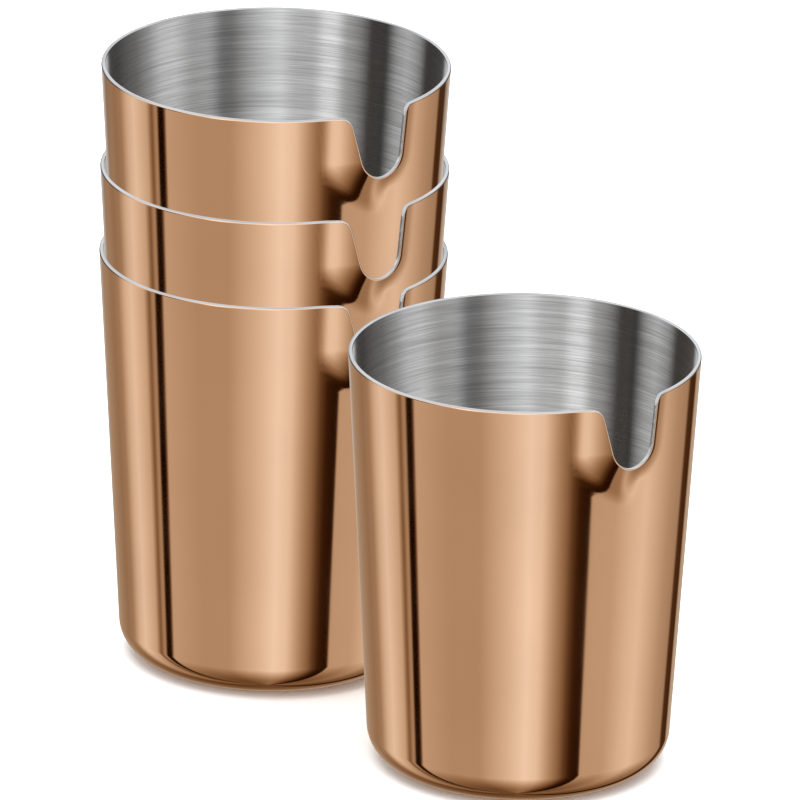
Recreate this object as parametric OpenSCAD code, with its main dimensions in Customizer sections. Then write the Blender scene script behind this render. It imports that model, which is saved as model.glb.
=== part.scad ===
// A set of four identical stacking bar jiggers: three nested in one stack, and one standing
// free in front of it. Each jigger is a tapered cup drawn from one steel sheet, with a copper
// layer over its outside. A U-shaped pour notch is cut in the rim. The metal on its left is
// pressed outward into a lip, and the edge on its right is curled outward.
// +Z is up, z = 0 is the surface that the set stands on, and the origin is the middle of the
// set's footprint. The free jigger stands towards -Y.

/* [Cup] */
// Outer diameter at the rim
rim_d = 46; // [44:0.5:48]
// Height from the foot to the rim
cup_h = 56.1; // [54:0.1:60]
// Slope of the wall from the vertical, in degrees
taper = 3.5; // [3.3:0.1:3.7]
// Outer radius of the corner between wall and base
corner_r = 4.6; // [4:0.1:5.2]
// Thickness of the steel sheet
steel_t = 0.5; // [0.4:0.05:0.5]
// Thickness of the copper layer
copper_t = 0.1; // [0.08:0.01:0.12]

/* [Foot] */
// How far the middle of the base is raised above the foot ring
dish = 0.4; // [0.2:0.1:0.6]
// Width of the bare steel ring that the cup stands on
foot_w = 1.4; // [1:0.1:2]
// Width of the slope between the foot ring and the raised middle
dish_slope_w = 2; // [1.5:0.5:3]

/* [Pour notch] */
// Direction the notch faces, in degrees from -Y towards +X
notch_az = 37.2; // [20:0.1:60]
// Depth of the notch below the rim
notch_depth = 9.05; // [8:0.05:9.5]
// Radius of the notch's round bottom
notch_r = 3.35; // [2.6:0.05:3.4]
// Slope of the notch's sides from the vertical, in degrees
notch_slope = 9; // [6:0.5:12]
// Radius of the rounded corners between rim and notch
notch_corner_r = 1.45; // [1:0.05:2]
// How far the notch's middle line leans from the vertical, in degrees
notch_lean = 6; // [0:0.5:9]

/* [Pour lip] */
// Slope at which the metal on the notch's left is pressed outward, in degrees
lip_slope = 15; // [8:0.5:17]
// Distance from the notch's middle line to the fold where the slope starts
lip_u = 7.9; // [7:0.05:8]
// Depth below the rim at which the fold starts to run in under the notch
lip_v = 6.2; // [5:0.1:6.2]
// Width over which the fold is rounded
fold_w = 2.5; // [1.5:0.1:2.6]
// How far the notch's right edge is curled outward
curl = 0.75; // [0.4:0.05:0.9]
// Width of the curled metal along that edge
curl_w = 2.8; // [2:0.1:3.2]

/* [Stack] */
// Rise of the middle jigger over the bottom one
middle_rise = 11.8; // [11.8:0.1:14]
// Rise of the top jigger over the middle one
top_rise = 14.1; // [11.8:0.1:16]

/* [Free jigger] */
// How far to the right of the stack's axis it stands
free_dx = 33.1; // [32.8:0.1:45]
// How far in front of the stack's axis it stands
free_dy = 38; // [38:0.1:50]

/* [Hidden] */
$fn = 160;

rim_r = rim_d / 2;
wall_t = steel_t + copper_t;
arc_x = rim_r - (corner_r + (cup_h - corner_r) * sin(taper)) / cos(taper);  // axis of the corner's arc
foot_out_r = arc_x;
foot_in_r = foot_out_r - foot_w;
dish_r = foot_in_r - dish_slope_w;
over = 1;             // how far a cutter runs past what it cuts

// The notch, drawn on the unrolled wall: u runs along the rim from the notch's middle line,
// and v runs down from the rim.
notch_v = notch_depth - notch_r;     // centre of the round bottom
notch_side_steps = 3;
notch_corner_steps = 7;
notch_round_steps = 8;
half_steps = notch_corner_steps + notch_side_steps + notch_round_steps;
columns = 2 * half_steps;
notch_corner_u = (notch_r + notch_corner_r + (notch_v - notch_corner_r) * sin(notch_slope)) / cos(notch_slope);

// The lip is a faceted patch of wall around the notch. It is set into a window in the round
// wall and laps into the wall around that window by this much.
lap = 0.3;
// The patch is thinner than the wall by this much on each face, so its lap stays buried.
bury = copper_t / 4;
patch_u = 13.6;
patch_v = 16;
fold_power = 1.5;      // the fold's path under the notch: 2 is round, 1 is straight
ridge_r = 1;           // rounding of the lip's ridge on the notch's middle line
// The lip changes into the curl across this zone, measured from the notch's middle line
blend_from = -2.5;
blend_to = 1.5;
ring_share = [0, 0.07, 0.16, 0.26, 0.37, 0.5, 0.72, 1];   // rings from the notch to the window
rings = len(ring_share);

stack_at = [-free_dx / 2, free_dy / 2];
free_at = [free_dx / 2, -free_dy / 2];

copper = [0.82, 0.55, 0.42];
steel = [0.72, 0.72, 0.71];

// ---- outline of the notch -----------------------------------------------------------------

// Right half of the notch's outline, from the middle of its bottom up to the rim
function notch_round(i) =
    let (a = 90 - (90 - notch_slope) * i / notch_round_steps)
    [notch_r * cos(a), notch_v + notch_r * sin(a)];
function notch_corner(i) =
    let (a = notch_slope + (90 - notch_slope) * i / notch_corner_steps)
    [notch_corner_u - notch_corner_r * cos(a), notch_corner_r - notch_corner_r * sin(a)];
function notch_side(i) =
    let (low = notch_round(notch_round_steps), high = notch_corner(0))
    low + (high - low) * i / notch_side_steps;
notch_half = concat(
    [for (i = [0:notch_round_steps]) notch_round(i)],
    [for (i = [1:notch_side_steps]) notch_side(i)],
    [for (i = [1:notch_corner_steps]) notch_corner(i)]
);

// Point on the right half of the patch's border, from its lowest middle point up to the rim,
// where share runs from 0 to 1 along it and inset draws the border in
function border(share, inset) =
    let (w = patch_u - inset, h = patch_v - inset, s = share * (w + h))
    s < w ? [s, h] : [w, h - (s - w)];

// The notch's middle line leans, so points of an upright notch are moved sideways by it
function lean_at(v) = tan(notch_lean) * (v - notch_v);

// Smooth step from 0 to 1 as x runs from 0 to 1
function smooth(x) = let (t = min(1, max(0, x))) t * t * (3 - 2 * t);

// How far the lip is pressed outward at a point of the unrolled wall
function lip(p) =
    let (
        side = norm([p.x, ridge_r]),
        low = max(0, p.y - lip_v),
        d = pow(pow(side, fold_power) + pow(low, fold_power), 1 / fold_power),
        into_fold = min(fold_w, max(0, lip_u + fold_w / 2 - d)),
        past_fold = max(0, lip_u - fold_w / 2 - d)
    )
    tan(lip_slope) * (into_fold * into_fold / (2 * fold_w) + past_fold);

// How far the edge is curled outward, by the distance d from the notch's side or round bottom
function curled(p) =
    let (
        x = abs(p.x - lean_at(p.y)),
        y = p.y - notch_v,
        below = y * cos(notch_slope) > x * sin(notch_slope),
        d = (below ? norm([x, y]) : x * cos(notch_slope) + y * sin(notch_slope)) - notch_r
    )
    curl * pow(1 - min(1, max(0, d / curl_w)), 2);

// How far the wall is pushed outward at a point of the unrolled wall
function flare(p) =
    let (b = smooth((p.x - lean_at(p.y) - blend_from) / (blend_to - blend_from)))
    lip(p) * (1 - b) + curled(p) * b;

// ---- wall patch with the lip ----------------------------------------------------------------

// Column i runs from the notch's left end at the rim (0) round its bottom to the right end
function mirrored(i, p) = [i < half_steps ? -p.x : p.x, p.y];
function leaning(p) = [p.x + lean_at(p.y), p.y];
function grid_uv(i, j) =
    let (
        k = abs(i - half_steps),
        from = leaning(mirrored(i, notch_half[k])),
        to = mirrored(i, border(k / half_steps, 2 * lap))
    )
    j < rings ? from + (to - from) * ring_share[j] : mirrored(i, border(k / half_steps, 0));

// Point of the wall at (u, v), where depth is how far the point lies behind the outer face
function wall_point(p, depth) =
    let (
        a = notch_az - 90 + p.x / rim_r * 180 / PI,
        r = rim_r - p.y * tan(taper) - depth / cos(taper) + flare(p)
    )
    [r * cos(a), r * sin(a), cup_h - p.y];

function quad(a, b, c, d) = [[a, b, c], [a, c, d]];

module lip_patch(depth_out, depth_in) {
    row = columns + 1;
    layer = row * (rings + 1);
    points = [
        for (depth = [depth_out, depth_in], j = [0:rings], i = [0:columns])
            wall_point(grid_uv(i, j), depth)
    ];
    function out(i, j) = j * row + i;
    function in(i, j) = layer + j * row + i;
    faces = [
        for (j = [0:rings - 1], i = [0:columns - 1]) each concat(
            quad(out(i, j), out(i + 1, j), out(i + 1, j + 1), out(i, j + 1)),
            quad(in(i, j + 1), in(i + 1, j + 1), in(i + 1, j), in(i, j))
        ),
        for (i = [0:columns - 1]) each concat(
            quad(out(i + 1, 0), out(i, 0), in(i, 0), in(i + 1, 0)),
            quad(out(i, rings), out(i + 1, rings), in(i + 1, rings), in(i, rings))
        ),
        for (j = [0:rings - 1]) each concat(
            quad(out(0, j), out(0, j + 1), in(0, j + 1), in(0, j)),
            quad(out(columns, j + 1), out(columns, j), in(columns, j), in(columns, j + 1))
        )
    ];
    polyhedron(points = points, faces = faces, convexity = 6);
}

// Window in the round wall, which the patch fills
module lip_window() {
    half_angle = (patch_u - lap) / rim_r * 180 / PI;
    low = cup_h - patch_v + lap;
    rotate([0, 0, notch_az - 90 - half_angle])
        rotate_extrude(angle = 2 * half_angle)
            translate([rim_r / 2, low])
                square([rim_r, cup_h + over - low]);
}

// ---- turned profiles ------------------------------------------------------------------------

// Half section of the cup's outer shape drawn in by depth, filled up to the axis and to top
module filled_section(depth, top) {
    wall_at_top = rim_r + (top - cup_h) * tan(taper) - depth / cos(taper);
    arc_r = corner_r - depth;
    polygon([
        [0, dish + depth],
        [dish_r, dish + depth],
        [foot_in_r, depth],
        [arc_x, depth],
        [arc_x + arc_r * cos(taper), corner_r - arc_r * sin(taper)],
        [wall_at_top, top],
        [0, top]
    ]);
    translate([arc_x, corner_r])
        circle(r = arc_r);
}

// Turned shell between two depths behind the outer face
module shell(depth_out, depth_in) {
    rotate_extrude()
        difference() {
            filled_section(depth_out, cup_h);
            filled_section(depth_in, cup_h + over);
        }
}

// Bare ring that the cup stands on, level with the copper around it
module foot_ring(height) {
    rotate_extrude()
        translate([foot_in_r, 0])
            square([foot_w, height]);
}

module walled(depth_out, depth_in) {
    difference() {
        shell(depth_out, depth_in);
        lip_window();
    }
    lip_patch(depth_out + bury, depth_in - bury);
}

// ---- one jigger -----------------------------------------------------------------------------

module steel_cup() {
    color(steel) union() {
        walled(copper_t, wall_t);
        foot_ring(copper_t + steel_t / 2);
    }
}

module copper_plating() {
    color(copper) difference() {
        walled(0, copper_t);
        translate([0, 0, -over])
            foot_ring(2 * over);
    }
}

module place(at, rise) {
    translate([at.x, at.y, rise])
        children();
}

// ---- nodes ----------------------------------------------------------------------------------

module bottom_cup() { place(stack_at, 0) steel_cup(); }
module bottom_plating() { place(stack_at, 0) copper_plating(); }
module middle_cup() { place(stack_at, middle_rise) steel_cup(); }
module middle_plating() { place(stack_at, middle_rise) copper_plating(); }
module top_cup() { place(stack_at, middle_rise + top_rise) steel_cup(); }
module top_plating() { place(stack_at, middle_rise + top_rise) copper_plating(); }
module front_cup() { place(free_at, 0) steel_cup(); }
module front_plating() { place(free_at, 0) copper_plating(); }

bottom_cup();
bottom_plating();
middle_cup();
middle_plating();
top_cup();
top_plating();
front_cup();
front_plating();
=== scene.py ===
"""Four stacking bar jiggers: three nested in a stack and one standing free in front of it.

Each jigger is two closed meshes round one axis: the steel cup, and the copper layer over its
outside. Both are built from the same map of the wall, so they meet everywhere. Lengths are in
metres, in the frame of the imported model.
"""

import math

import bpy
import numpy as np
from mathutils import Matrix, Vector


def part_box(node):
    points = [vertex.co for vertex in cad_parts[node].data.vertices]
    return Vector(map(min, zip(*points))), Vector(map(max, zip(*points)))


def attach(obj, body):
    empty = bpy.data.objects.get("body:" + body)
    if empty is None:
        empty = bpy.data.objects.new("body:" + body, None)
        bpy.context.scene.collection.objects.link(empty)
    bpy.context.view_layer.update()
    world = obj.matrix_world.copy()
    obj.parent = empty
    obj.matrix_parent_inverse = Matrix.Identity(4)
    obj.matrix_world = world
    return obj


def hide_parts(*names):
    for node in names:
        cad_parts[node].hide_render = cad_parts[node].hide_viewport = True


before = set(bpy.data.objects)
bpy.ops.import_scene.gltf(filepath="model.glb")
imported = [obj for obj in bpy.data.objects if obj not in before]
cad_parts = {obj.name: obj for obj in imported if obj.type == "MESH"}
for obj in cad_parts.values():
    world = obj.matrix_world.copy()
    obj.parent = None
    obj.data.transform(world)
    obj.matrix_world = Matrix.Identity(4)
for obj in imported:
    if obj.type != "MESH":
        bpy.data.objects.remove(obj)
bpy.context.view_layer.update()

MM = 0.001

# ---- sizes of a cup, as the CAD model has them ------------------------------------------------

TAPER = math.radians(3.5)
CORNER_R = 4.6 * MM
STEEL_T = 0.5 * MM
COPPER_T = 0.1 * MM
WALL_T = STEEL_T + COPPER_T
DISH = 0.4 * MM
FOOT_W = 1.4 * MM
DISH_SLOPE_W = 2.0 * MM

NOTCH_AZ = math.radians(37.2)        # from -Y towards +X
NOTCH_DEPTH = 9.05 * MM
NOTCH_R = 3.35 * MM
NOTCH_SLOPE = math.radians(9)
NOTCH_CORNER_R = 1.45 * MM
NOTCH_LEAN = math.radians(6)         # of its middle line, from the vertical
LIP_SLOPE = math.tan(math.radians(15))
LIP_U = 7.9 * MM                     # from the notch's middle line to the lip's fold
LIP_V = 6.2 * MM                     # depth at which the fold starts to run in under the notch
FOLD_POWER = 1.5                     # the fold's path there: 2 is round, 1 is straight
FOLD_W = 2.5 * MM
RIDGE_R = 1.0 * MM                   # rounding of the lip's ridge on the middle line
CURL = 0.75 * MM                     # how far the notch's right edge is curled outward
CURL_W = 2.8 * MM
# The lip changes into the curl between these, measured from the notch's middle line
BLEND_FROM = -2.5 * MM
BLEND_TO = 1.5 * MM

# Rounding of the cut edge. The copper runs over the outer corner and ends partway round it.
OUTER_EDGE_R = 0.24 * MM
INNER_EDGE_R = 0.14 * MM
COPPER_END = math.radians(35)

CUPS = ("bottom", "middle", "top", "front")

# ---- sizes taken from the frame ---------------------------------------------------------------

FRONT_LOW, FRONT_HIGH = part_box("front_plating")
RIM_R = (FRONT_HIGH.x - FRONT_LOW.x) / 2
CUP_H = FRONT_HIGH.z - FRONT_LOW.z
ARC_X = RIM_R - (CORNER_R + (CUP_H - CORNER_R) * math.sin(TAPER)) / math.cos(TAPER)


# ==== shape of the wall ========================================================================
# The wall is unrolled: u runs along the rim from the notch's middle line, and q runs down the
# section from the rim, over the rounded corner and in along the base to the axis.

Q_CORNER = CUP_H - CORNER_R + CORNER_R * math.sin(TAPER)
Q_BASE = Q_CORNER + CORNER_R * (math.pi / 2 - TAPER)
Q_AXIS = Q_BASE + ARC_X

NOTCH_V = NOTCH_DEPTH - NOTCH_R
NOTCH_CORNER_U = (
    NOTCH_R + NOTCH_CORNER_R + (NOTCH_V - NOTCH_CORNER_R) * math.sin(NOTCH_SLOPE)
) / math.cos(NOTCH_SLOPE)


def smooth_step(x):
    """Eases a share from 0 to 1 at both ends."""
    return x * x * (3 - 2 * x)


def section(q, depth):
    """Radius and height of the section at q. Depth is how far it lies behind the outer face."""
    arc_r = CORNER_R - depth
    wall_q = CUP_H - CORNER_R + arc_r * math.sin(TAPER)
    v = q * wall_q / Q_CORNER
    angle = TAPER + (math.pi / 2 - TAPER) * (q - Q_CORNER) / (Q_BASE - Q_CORNER)
    base_r = Q_AXIS - q
    rise = np.clip((ARC_X - FOOT_W - base_r) / DISH_SLOPE_W, 0, 1)
    rise = smooth_step(rise)
    on_wall = q <= Q_CORNER
    on_arc = q <= Q_BASE
    r = np.where(
        on_wall,
        RIM_R - v * math.tan(TAPER) - depth / math.cos(TAPER),
        np.where(on_arc, ARC_X + arc_r * np.cos(angle), base_r),
    )
    z = np.where(
        on_wall,
        CUP_H - v,
        np.where(on_arc, CORNER_R - arc_r * np.sin(angle), depth + DISH * rise),
    )
    return r, z


def lip(u, q):
    """How far the metal on the notch's left is pressed outward."""
    low = np.maximum(0, q - LIP_V)
    side = np.hypot(u, RIDGE_R)
    reach = (side ** FOLD_POWER + low ** FOLD_POWER) ** (1 / FOLD_POWER)
    near = LIP_U + FOLD_W / 2 - reach
    fold = np.clip(near / FOLD_W, 0, 1)
    past = np.maximum(0, near - FOLD_W)
    return LIP_SLOPE * (FOLD_W * fold ** 3 * (1 - fold / 2) + past)


def curl(x, q):
    """How far the notch's edge is curled outward, where x is measured from its middle line."""
    x = np.abs(x)
    y = q - NOTCH_V
    cos = math.cos(NOTCH_SLOPE)
    sin = math.sin(NOTCH_SLOPE)
    off_edge = np.where(y * cos > x * sin, np.hypot(x, y), x * cos + y * sin) - NOTCH_R
    return CURL * (1 - np.clip(off_edge / CURL_W, 0, 1)) ** 2


def flare(u, q):
    """How far the wall is pushed outward round the notch."""
    x = u - math.tan(NOTCH_LEAN) * (q - NOTCH_V)
    share = np.clip((x - BLEND_FROM) / (BLEND_TO - BLEND_FROM), 0, 1)
    share = smooth_step(share)
    return lip(u, q) * (1 - share) + curl(x, q) * share


def wall_point(u, q, depth):
    r, z = section(q, depth)
    nearest = (u + math.pi * RIM_R) % (2 * math.pi * RIM_R) - math.pi * RIM_R
    r = r + flare(nearest, q)
    angle = NOTCH_AZ - math.pi / 2 + u / RIM_R
    return np.stack([r * np.cos(angle), r * np.sin(angle), z], -1)


def wall_frame(u, q, depth):
    """Unit vectors of the outer face: along u, up the section, and outward."""
    along = wall_point(u + STEP, q, depth) - wall_point(u - STEP, q, depth)
    up = wall_point(u, q - STEP, depth) - wall_point(u, q + STEP, depth)
    out = np.cross(along, up)
    return unit(along), unit(up), unit(out)


def unit(v):
    return v / np.maximum(np.linalg.norm(v, axis=-1, keepdims=True), 1e-12)


# ==== grid of the unrolled wall ================================================================
# A square-cornered patch holds the notch. Its grid lines run from the notch's outline to the
# patch's border, and the rest of the wall is a plain grid that meets the patch's border.

PATCH_U = 13.6 * MM
PATCH_V = 16 * MM
SIDE_ROWS = 12        # rows from the rim to the foot of the patch
PATCH_COLUMNS = 44    # columns under the patch
ROUND_COLUMNS = 184   # columns round the rest of the cup
PATCH_RINGS = 18
RING_CROWDING = 1.6   # above 1, the patch's rings crowd towards the notch
WALL_ROWS = 6         # rows from the patch's foot to the rounded corner
CORNER_ROWS = 16
SLOPE_ROWS = 8        # rows of the slope round the raised middle of the base
MIDDLE_ROWS = 4
EDGE_STEPS = 4        # steps round each rounded corner of the cut edge
STEP = 2 * MM / 1000  # a very short length, for slopes and for steps in the section


def notch_outline(count):
    """Points evenly spaced along the notch from its left end at the rim to its right end, and the
    direction at each that points into the metal."""
    turn = math.pi / 2 - NOTCH_SLOPE
    side = np.array([math.cos(NOTCH_SLOPE), math.sin(NOTCH_SLOPE)])
    low = np.array([0, NOTCH_V]) + NOTCH_R * side
    high = np.array([NOTCH_CORNER_U, NOTCH_CORNER_R]) - NOTCH_CORNER_R * side
    round_length = NOTCH_R * turn
    side_length = np.linalg.norm(high - low)
    half_length = round_length + side_length + NOTCH_CORNER_R * turn
    lean = math.tan(NOTCH_LEAN)
    points = []
    inward = []
    for share in np.linspace(-1, 1, count):
        s = abs(share) * half_length
        if s < round_length:
            angle = math.pi / 2 - s / NOTCH_R
            m = np.array([math.cos(angle), math.sin(angle)])
            p = np.array([0, NOTCH_V]) + NOTCH_R * m
        elif s < round_length + side_length:
            m = side
            p = low + (high - low) * (s - round_length) / side_length
        else:
            angle = NOTCH_SLOPE + (s - round_length - side_length) / NOTCH_CORNER_R
            m = np.array([math.cos(angle), math.sin(angle)])
            p = np.array([NOTCH_CORNER_U, NOTCH_CORNER_R]) - NOTCH_CORNER_R * m
        mirror = np.array([1 if share >= 0 else -1, 1])
        p = p * mirror
        m = m * mirror
        points.append(p + np.array([lean * (p[1] - NOTCH_V), 0]))
        inward.append(unit(m - np.array([0, lean * m[0]])))
    return np.array(points), np.array(inward)


def spread(*stops):
    """Values between stops (start, end, steps), each start left out."""
    return [a + (b - a) * i / n for a, b, n in stops for i in range(1, n + 1)]


class Grid:
    """The unrolled wall as points (u, q). edge is the closed line of points along the rim and
    round the notch, row is the lowest row, and inset draws points near the edge away from it."""

    def __init__(self):
        self.uq = []
        self.pull = []
        self.faces = []
        round_u = np.linspace(PATCH_U, 2 * math.pi * RIM_R - PATCH_U, ROUND_COLUMNS + 1)
        foot_u = np.linspace(-PATCH_U, PATCH_U, PATCH_COLUMNS + 1)
        side = np.linspace(0, 1, SIDE_ROWS + 1)
        plain = [[self.add((u, PATCH_V * t), (0, 1 - t)) for u in round_u] for t in side]
        self.join(plain)

        foot = [self.add((u, PATCH_V), (0, 0)) for u in foot_u[1:-1]]
        border = [row[-1] for row in plain] + foot + [row[0] for row in reversed(plain)]
        border_uq = (
            [(-PATCH_U, PATCH_V * t) for t in side]
            + [(u, PATCH_V) for u in foot_u[1:-1]]
            + [(PATCH_U, PATCH_V * t) for t in reversed(side)]
        )
        outline, inward = notch_outline(len(border))
        patch = []
        for j in range(PATCH_RINGS):
            share = (j / PATCH_RINGS) ** RING_CROWDING
            patch.append([
                self.add(
                    outline[i] + (np.array(border_uq[i]) - outline[i]) * share,
                    inward[i] * (1 - share) + np.array(self.pull[border[i]]) * share,
                )
                for i in range(len(border))
            ])
        patch.append(border)
        self.join(patch)

        self.edge = (
            plain[0]
            + [ring[0] for ring in reversed(patch[1:-1])]
            + patch[0]
            + [ring[-1] for ring in patch[1:-1]]
        )
        self.row = [border[SIDE_ROWS]] + foot + plain[-1][:-1]
        self.row_u = np.array([self.uq[k][0] for k in self.row])

    def add(self, uq, pull):
        self.uq.append(tuple(uq))
        self.pull.append(tuple(pull))
        return len(self.uq) - 1

    def join(self, rows):
        for high, low in zip(rows, rows[1:]):
            for i in range(len(high) - 1):
                self.faces.append((low[i], low[i + 1], high[i + 1], high[i]))


class Shell:
    """A closed mesh in the making: points, their normals and faces."""

    def __init__(self):
        self.points = []
        self.normals = []
        self.faces = []
        self.count = 0

    def add(self, points, normals):
        """Adds points and returns their numbers."""
        self.points.append(points)
        self.normals.append(normals)
        self.count += len(points)
        return list(range(self.count - len(points), self.count))

    def ring(self, u, q, depth, outward=1):
        """Adds a ring of points at one q, facing out of the wall or into the cup."""
        u = np.asarray(u)
        q = np.full(len(u), q)
        _, _, out = wall_frame(u, q, depth)
        return self.add(wall_point(u, q, depth), out * outward)

    def bridge(self, high, low, flip=False):
        """Joins two closed rings of equal length."""
        n = len(high)
        for i in range(n):
            face = (low[i], low[(i + 1) % n], high[(i + 1) % n], high[i])
            self.faces.append(face[::-1] if flip else face)

    def cap(self, ring, q, depth, outward=1):
        """Closes a small ring round the axis with one point in its middle."""
        r, z = section(np.array([q]), depth)
        middle = self.add(np.array([[0, 0, z[0]]]), np.array([[0, 0, -outward]]))[0]
        n = len(ring)
        for i in range(n):
            face = (ring[i], middle, ring[(i + 1) % n])
            self.faces.append(face if outward > 0 else face[::-1])

    def wall(self, grid, depth, edge_r, outward):
        """Adds the grid as a sheet at a depth, stopping short of the cut edge by edge_r."""
        uq = np.array(grid.uq) + edge_r * np.array(grid.pull)
        u, q = uq.T
        _, _, out = wall_frame(u, q, depth)
        base = self.count
        self.add(wall_point(u, q, depth), out * outward)
        for face in grid.faces:
            face = tuple(base + k for k in face)
            self.faces.append(face if outward > 0 else face[::-1])
        return [base + k for k in grid.edge], [base + k for k in grid.row]

    def cut_edge(self, grid, outer, inner, profile):
        """Joins two sheets round the cut edge. The profile is (inset, depth, turn of the normal
        out of the wall towards the edge), and its ends are the sheets' own edges."""
        u, q = np.array([grid.uq[k] for k in grid.edge]).T
        pull = np.array([grid.pull[k] for k in grid.edge])
        last = outer
        for inset, depth, turn in profile[1:-1]:
            uu = u + inset * pull[:, 0]
            qq = q + inset * pull[:, 1]
            along, up, out = wall_frame(uu, qq, depth)
            off = unit(-pull[:, :1] * along + pull[:, 1:] * up)
            normals = math.cos(turn) * out + math.sin(turn) * off
            ring = self.add(wall_point(uu, qq, depth), normals)
            self.bridge(ring, last)
            last = ring
        self.bridge(inner, last)

    def mesh(self, name, seed):
        """Makes the mesh, with its exact normals and a number that varies its surface pattern."""
        points = np.concatenate(self.points)
        normals = unit(np.concatenate(self.normals))
        mesh = bpy.data.meshes.new(name)
        mesh.from_pydata(points.tolist(), [], self.faces)
        mesh.polygons.foreach_set("use_smooth", [True] * len(mesh.polygons))
        mesh.normals_split_custom_set_from_vertices(normals.tolist())
        pattern = mesh.attributes.new("pattern_seed", "FLOAT", "POINT")
        pattern.data.foreach_set("value", [seed] * len(points))
        mesh.update()
        return mesh

    def descend(self, grid, last, rows, depth, outward=1):
        """Adds rings below the last one and joins them, and returns the lowest."""
        for q in rows:
            ring = self.ring(grid.row_u, q, depth, outward)
            self.bridge(last, ring, flip=outward < 0)
            last = ring
        return last


# ==== the two pieces of a jigger ===============================================================

FOOT_Q = Q_BASE + FOOT_W                # inner side of the foot ring
MIDDLE_Q = FOOT_Q + DISH_SLOPE_W        # start of the raised middle
WALL_TO_BASE = spread((PATCH_V, Q_CORNER, WALL_ROWS), (Q_CORNER, Q_BASE, CORNER_ROWS))
MIDDLE = spread((FOOT_Q, MIDDLE_Q, SLOPE_ROWS), (MIDDLE_Q, Q_AXIS, MIDDLE_ROWS))[:-1]


def edge_arc(radius, start, end):
    """Profile steps on an arc round the centre of the cut edge's outer corner."""
    return [
        (OUTER_EDGE_R - radius * math.sin(a), OUTER_EDGE_R - radius * math.cos(a), a)
        for a in np.linspace(start, end, EDGE_STEPS + 1)
    ]


def steel_shell(grid):
    """The drawn cup: inside, cut rim, the face under the copper, and the bare foot ring."""
    shell = Shell()
    inner_edge, row = shell.wall(grid, WALL_T, INNER_EDGE_R, -1)
    last = shell.descend(grid, row, WALL_TO_BASE + [FOOT_Q] + MIDDLE, WALL_T, -1)
    shell.cap(last, Q_AXIS, WALL_T, -1)

    outer_edge, row = shell.wall(grid, COPPER_T, OUTER_EDGE_R, 1)
    last = shell.descend(grid, row, WALL_TO_BASE, COPPER_T)
    last = shell.descend(grid, last, [Q_BASE + STEP, FOOT_Q - STEP], 0)
    last = shell.descend(grid, last, [FOOT_Q] + MIDDLE, COPPER_T)
    shell.cap(last, Q_AXIS, COPPER_T)

    profile = edge_arc(OUTER_EDGE_R - COPPER_T, 0, COPPER_END)
    profile += edge_arc(OUTER_EDGE_R, COPPER_END, math.pi / 2)
    for turn in np.linspace(math.pi / 2, 0, EDGE_STEPS + 1):
        inset = INNER_EDGE_R * (1 - math.sin(turn))
        depth = WALL_T - INNER_EDGE_R * (1 - math.cos(turn))
        profile.append((inset, depth, math.pi - turn))
    shell.cut_edge(grid, outer_edge, inner_edge, profile)
    return shell


def copper_shell(grid):
    """The plated layer: one skin over wall and corner, and a disc inside the foot ring."""
    shell = Shell()
    outer_edge, row = shell.wall(grid, 0, OUTER_EDGE_R, 1)
    outer_foot = shell.descend(grid, row, WALL_TO_BASE, 0)
    inner_edge, row = shell.wall(grid, COPPER_T, OUTER_EDGE_R, -1)
    inner_foot = shell.descend(grid, row, WALL_TO_BASE, COPPER_T, -1)
    shell.bridge(outer_foot, inner_foot)
    profile = edge_arc(OUTER_EDGE_R, 0, COPPER_END)
    inside = edge_arc(OUTER_EDGE_R - COPPER_T, COPPER_END, 0)
    profile += [(inset, depth, turn + math.pi) for inset, depth, turn in inside]
    shell.cut_edge(grid, outer_edge, inner_edge, profile)

    outer_rim = shell.ring(grid.row_u, FOOT_Q, 0)
    last = shell.descend(grid, outer_rim, MIDDLE, 0)
    shell.cap(last, Q_AXIS, 0)
    inner_rim = shell.ring(grid.row_u, FOOT_Q, COPPER_T, -1)
    last = shell.descend(grid, inner_rim, MIDDLE, COPPER_T, -1)
    shell.cap(last, Q_AXIS, COPPER_T, -1)
    shell.bridge(inner_rim, outer_rim)
    return shell


# ==== materials ================================================================================

COPPER_COLOUR = (0.92, 0.61, 0.415)
COPPER_TINT = (0.96, 1.03)           # darkest and palest, of the copper's colour
COPPER_ROUGHNESS = (0.05, 0.09)
COPPER_CLOUDS = 55.0                 # scale of the noise that varies tint and roughness
HAIRLINE_HEIGHT = 0.002 * MM
STEEL_COLOUR = (0.66, 0.665, 0.67)
STEEL_DARK_REFLECTION = 0.45                   # darkest streaks, of the steel's colour: painted reflection of dark parts of the studio in the brushing grooves
STEEL_ROUGHNESS = (0.21, 0.13)       # in dark and in pale streaks
STREAK_HEIGHT = 0.02 * MM
FINE_SHARE = 0.6                     # of the streaks' pattern, and the rest is broad
FLOOR_COLOUR = (0.93, 0.93, 0.925, 1)


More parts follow.
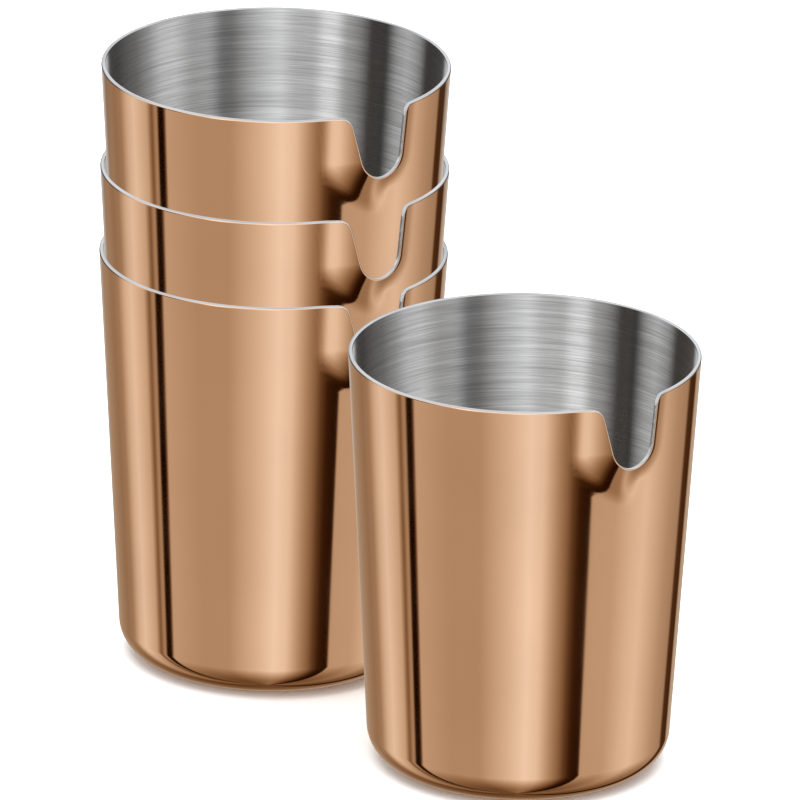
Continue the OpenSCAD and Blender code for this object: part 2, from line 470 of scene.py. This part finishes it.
class Nodes:
    """Adds nodes to a tree. An input is a number, a colour, a vector or another node's output."""

    def __init__(self, tree):
        self.tree = tree
        tree.nodes.clear()

    def add(self, kind, inputs=None, **settings):
        node = self.tree.nodes.new("ShaderNode" + kind)
        for key, value in settings.items():
            setattr(node, key, value)
        for key, value in (inputs or {}).items():
            if isinstance(value, bpy.types.NodeSocket):
                self.tree.links.new(value, node.inputs[key])
            else:
                node.inputs[key].default_value = value
        return node

    def math(self, operation, *values, clamp=False):
        inputs = dict(enumerate(values))
        return self.add("Math", inputs, operation=operation, use_clamp=clamp).outputs[0]

    def mix(self, factor, low, high):
        node = self.add("Mix", {"Factor": factor}, data_type="RGBA")
        for socket, value in ((node.inputs[6], low), (node.inputs[7], high)):
            if isinstance(value, bpy.types.NodeSocket):
                self.tree.links.new(value, socket)
            else:
                socket.default_value = (*value, 1)
        return node.outputs[2]

    def scaled(self, value, low, high):
        """A noise value, which lies about 0.5, spread over low to high."""
        inputs = {"Value": value, "From Min": 0.3, "From Max": 0.7, "To Min": low, "To Max": high}
        return self.add("MapRange", inputs).outputs["Result"]


def turned_noise(nodes, around, per_metre, detail, seed_step):
    """Noise drawn out round the cup's axis, as turning and brushing leave it. It changes slowly
    around the axis and per_metre times along the section, and the seed step shifts it."""
    place = nodes.add("TexCoord").outputs["Object"]
    x, y, z = nodes.add("SeparateXYZ", {0: place}).outputs
    flat = nodes.add("CombineXYZ", {0: x, 1: y}).outputs[0]
    radius = nodes.add("VectorMath", {0: flat}, operation="LENGTH").outputs["Value"]
    round_axis = nodes.add("VectorMath", {0: flat}, operation="NORMALIZE").outputs[0]
    rx, ry, _ = nodes.add("SeparateXYZ", {0: round_axis}).outputs
    seed = nodes.add("Attribute", attribute_name="pattern_seed").outputs["Fac"]
    vector = nodes.add("CombineXYZ", {
        0: nodes.math("MULTIPLY", rx, around),
        1: nodes.math("MULTIPLY", ry, around),
        2: nodes.math("MULTIPLY", nodes.math("SUBTRACT", z, radius), per_metre),
    }).outputs[0]
    inputs = {
        "Vector": vector,
        "W": nodes.math("ADD", seed, seed_step),
        "Scale": 1.0,
        "Detail": detail,
        "Roughness": 0.6,
    }
    return nodes.add("TexNoise", inputs, noise_dimensions="4D").outputs["Fac"]


def steel_material():
    material = bpy.data.materials.new("brushed_steel")
    material.use_nodes = True
    nodes = Nodes(material.node_tree)
    fine = turned_noise(nodes, 2.2, 6600, 3.0, 0.0)
    broad = turned_noise(nodes, 1.3, 1500, 2.0, 7.3)
    rest = nodes.math("MULTIPLY", broad, 1 - FINE_SHARE)
    grain_and_reflection_streaks = nodes.math("MULTIPLY_ADD", fine, FINE_SHARE, rest)
    # The streaks follow the steel's brushing, and their light and dark in the base colour are
    # painted reflection: the grooves mirroring pale and dark parts of the studio
    dark_reflection = tuple(STEEL_DARK_REFLECTION * c for c in STEEL_COLOUR)
    colour = nodes.mix(nodes.scaled(grain_and_reflection_streaks, 0.0, 1.0), dark_reflection, STEEL_COLOUR)
    bump = nodes.add("Bump", {"Strength": 0.5, "Distance": STREAK_HEIGHT, "Height": fine})
    tangent = nodes.add("Tangent", direction_type="RADIAL", axis="Z")
    shader = nodes.add("BsdfPrincipled", {
        "Base Color": colour,
        "Metallic": 1.0,
        "Roughness": nodes.scaled(grain_and_reflection_streaks, *STEEL_ROUGHNESS),
        "Anisotropic": 0.85,
        "Anisotropic Rotation": 0.25,
        "Normal": bump.outputs["Normal"],
        "Tangent": tangent.outputs["Tangent"],
    })
    nodes.add("OutputMaterial", {"Surface": shader.outputs[0]})
    return material


def copper_material():
    material = bpy.data.materials.new("polished_copper")
    material.use_nodes = True
    nodes = Nodes(material.node_tree)
    place = nodes.add("TexCoord").outputs["Object"]
    seed = nodes.add("Attribute", attribute_name="pattern_seed").outputs["Fac"]
    cloud = nodes.add("TexNoise", {
        "Vector": place, "W": seed, "Scale": COPPER_CLOUDS, "Detail": 3.0,
    }, noise_dimensions="4D").outputs["Fac"]
    hairlines = turned_noise(nodes, 6.0, 9000, 2.0, 3.1)
    deep, pale = (tuple(tint * c for c in COPPER_COLOUR) for tint in COPPER_TINT)
    colour = nodes.mix(nodes.scaled(cloud, 0.0, 1.0), deep, pale)
    bump = nodes.add("Bump", {"Strength": 0.05, "Distance": HAIRLINE_HEIGHT, "Height": hairlines})
    shader = nodes.add("BsdfPrincipled", {
        "Base Color": colour,
        "Metallic": 1.0,
        "Roughness": nodes.scaled(cloud, *COPPER_ROUGHNESS),
        "Normal": bump.outputs["Normal"],
    })
    nodes.add("OutputMaterial", {"Surface": shader.outputs[0]})
    return material


def floor_material():
    material = bpy.data.materials.new("pale_floor")
    material.use_nodes = True
    nodes = Nodes(material.node_tree)
    shader = nodes.add("BsdfPrincipled", {
        "Base Color": FLOOR_COLOUR,
        "Roughness": 0.7,
        "Specular IOR Level": 0.2,
    })
    nodes.add("OutputMaterial", {"Surface": shader.outputs[0]})
    return material


# ==== the cups =================================================================================

def make_cups():
    """Makes every cup's two pieces. They are left out of reflections, so that the cups mirror
    the studio and not each other."""
    grid = Grid()
    steel = steel_material()
    copper = copper_material()
    steel_parts = steel_shell(grid)
    copper_parts = copper_shell(grid)
    for seed, cup in enumerate(CUPS):
        low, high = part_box(f"{cup}_plating")
        place = Vector(((low.x + high.x) / 2, (low.y + high.y) / 2, low.z))
        kinds = (
            ("cup", "steel", steel_parts, steel),
            ("plating", "copper", copper_parts, copper),
        )
        for node, slot, shell, material in kinds:
            name = f"{cup}_{slot}"
            piece = bpy.data.objects.new(name, shell.mesh(name, float(seed)))
            bpy.context.collection.objects.link(piece)
            piece.location = place
            piece.data.materials.append(material)
            piece.visible_glossy = False
            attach(piece, f"jigger_{cup}")
            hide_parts(f"{cup}_{node}")


# ==== studio ===================================================================================
# The cups mirror what stands round them, so the studio is drawn by direction. Low walls below
# the horizon are warm, with narrow dark cards between soft pale parts, and darken towards the
# ground. High walls are neutral, and a pale sky stands over them.

# Azimuth in degrees, from the camera's side (-Y) towards +X, and brightness. At the camera's
# angle the copper mirrors the low walls, and the inside of a cup the high ones.
LOW_WALLS = (
    (-180, 0.50), (-138, 0.32), (-128, 0.38), (-119, 0.70), (-111, 0.85), (-97, 0.62),
    (-92, 0.15), (-89, 0.45), (-86.5, 0.40), (-86, 0.01), (-80.5, 0.01), (-79, 0.58),
    (-52, 0.48), (-30, 0.48), (-8, 0.76), (5, 0.96), (14, 0.86), (22, 0.55),
    (26, 0.41), (31, 0.27), (35, 0.13), (40, 0.04), (48, 0.015), (48.7, 0.55),
    (68, 0.57), (84, 0.75), (95, 0.82), (124, 0.475), (138.5, 0.39), (142, 0.07),
    (153, 0.05), (156.5, 0.50),
)
HIGH_WALLS = (
    (-180, 0.45), (-165, 0.40), (-156, 0.06), (-122, 0.03), (-113, 0.30), (-100, 0.53),
    (-90, 0.42), (-80, 0.04), (-67, 0.01), (-57, 0.30), (-47, 0.50), (-40, 1.00),
    (-33, 1.00), (-25, 0.60), (-12, 0.62), (-2, 0.90), (8, 0.68), (22, 0.38),
    (30, 0.20), (38, 0.20), (46, 0.48), (60, 0.44), (74, 0.72), (86, 0.64),
    (97, 0.34), (110, 0.16), (132, 0.07), (156, 0.05), (165, 0.40), (179, 0.45),
)
HIGH_STRENGTH = 1.45
# Heights are those of a direction of length 1
WALLS_MEET = (-0.365, -0.335)        # between these the low walls change into the high
SKY_SPAN = (0.1, 0.35)               # between these the walls change into the sky
SKY_COLOUR = (1.25, 1.27, 1.3)
GROUND_SPAN = (-0.95, -0.5)          # between these the low walls come out of the shade
GROUND_SHADE = 0.33                  # brightness in that shade
GREEN_FALL = 1.3                     # powers that make the dimmer low walls warmer
BLUE_FALL = 1.68
BACKDROP_COLOUR = (0.93, 0.93, 0.93)


def wall_ramp(nodes, turn, walls):
    """Brightness by azimuth, where turn is the azimuth as a share of a whole turn."""
    ramp = nodes.add("ValToRGB", {"Fac": turn})
    stops = ramp.color_ramp.elements
    stops.remove(stops[1])
    first = walls[0][1]
    stops[0].color = (first, first, first, 1)
    for degrees, bright in walls[1:]:
        stops.new(degrees / 360 + 0.5).color = (bright, bright, bright, 1)
    return ramp.outputs["Color"]


def spread_over(nodes, value, start, end, low=0.0, high=1.0):
    """A number that runs from low to high as the value runs from start to end."""
    inputs = {"Value": value, "From Min": start, "From Max": end, "To Min": low, "To Max": high}
    return nodes.add("MapRange", inputs).outputs["Result"]


def make_world():
    world = bpy.data.worlds.new("studio")
    bpy.context.scene.world = world
    world.use_nodes = True
    nodes = Nodes(world.node_tree)
    towards = nodes.add("TexCoord").outputs["Generated"]
    x, y, z = nodes.add("SeparateXYZ", {0: towards}).outputs
    azimuth = nodes.math("ARCTAN2", x, nodes.math("MULTIPLY", y, -1.0))
    turn = nodes.math("MULTIPLY_ADD", azimuth, 1 / (2 * math.pi), 0.5)
    ground = spread_over(nodes, z, *GROUND_SPAN, GROUND_SHADE, 1.0)
    bright = nodes.math("MULTIPLY", wall_ramp(nodes, turn, LOW_WALLS), ground)
    low_walls = nodes.add("CombineColor", {
        0: bright,
        1: nodes.math("POWER", bright, GREEN_FALL),
        2: nodes.math("POWER", bright, BLUE_FALL),
    }).outputs[0]
    high = nodes.math("MULTIPLY", wall_ramp(nodes, turn, HIGH_WALLS), HIGH_STRENGTH)
    high_walls = nodes.add("CombineColor", {0: high, 1: high, 2: high}).outputs[0]
    walls = nodes.mix(spread_over(nodes, z, *WALLS_MEET), low_walls, high_walls)
    room = nodes.mix(spread_over(nodes, z, *SKY_SPAN), walls, SKY_COLOUR)
    seen = nodes.add("LightPath").outputs["Is Camera Ray"]
    colour = nodes.mix(seen, room, BACKDROP_COLOUR)
    background = nodes.add("Background", {"Color": colour, "Strength": 1.0})
    nodes.add("OutputWorld", {"Surface": background.outputs[0]})


FLOOR_HALF = 12.0


def make_floor():
    mesh = bpy.data.meshes.new("floor")
    signs = ((-1, -1), (1, -1), (1, 1), (-1, 1))
    corners = [(FLOOR_HALF * x, FLOOR_HALF * y, 0) for x, y in signs]
    mesh.from_pydata(corners, [], [(0, 1, 2, 3)])
    floor = bpy.data.objects.new("floor", mesh)
    bpy.context.collection.objects.link(floor)
    mesh.materials.append(floor_material())
    floor.visible_glossy = False


LAMP_WIDTH = 1.6
LAMP_HEIGHT = 1.3
LAMP_WATTS = 26.0


def make_overhead_light():
    data = bpy.data.lights.new("overhead", "AREA")
    data.shape = "DISK"
    data.size = LAMP_WIDTH
    data.energy = LAMP_WATTS
    lamp = bpy.data.objects.new("overhead", data)
    bpy.context.collection.objects.link(lamp)
    lamp.location = (0, 0, LAMP_HEIGHT)
    lamp.visible_camera = False
    lamp.visible_glossy = False


# ==== camera ===================================================================================

ELEVATION = math.radians(20.12)
ROLL = math.radians(0.94)            # the horizon dips a little to the right
DISTANCE = 2.598
LENS = 900.0
SENSOR = 36.0
# The picture's centre, from the middle of the free cup's rim
AIM_LEFT = 16.14 * MM
AIM_DOWN = 6.48 * MM


def make_camera():
    data = bpy.data.cameras.new("camera")
    data.lens = LENS
    data.sensor_width = SENSOR
    data.clip_end = 100.0
    camera = bpy.data.objects.new("camera", data)
    bpy.context.collection.objects.link(camera)
    bpy.context.scene.camera = camera
    rim = Vector((
        (FRONT_LOW.x + FRONT_HIGH.x) / 2, (FRONT_LOW.y + FRONT_HIGH.y) / 2, FRONT_HIGH.z
    ))
    right = Vector((1, 0, 0))
    forward = Vector((0, math.cos(ELEVATION), -math.sin(ELEVATION)))
    up = Vector((0, math.sin(ELEVATION), math.cos(ELEVATION)))
    aim = rim - AIM_LEFT * right - AIM_DOWN * up
    rolled_right = math.cos(ROLL) * right + math.sin(ROLL) * up
    rolled_up = math.cos(ROLL) * up - math.sin(ROLL) * right
    turn = Matrix((rolled_right, rolled_up, -forward)).transposed()
    camera.matrix_world = Matrix.Translation(aim - DISTANCE * forward) @ turn.to_4x4()


make_camera()
make_cups()
make_world()
make_floor()
make_overhead_light()
bpy.context.scene.view_settings.view_transform = "Standard"
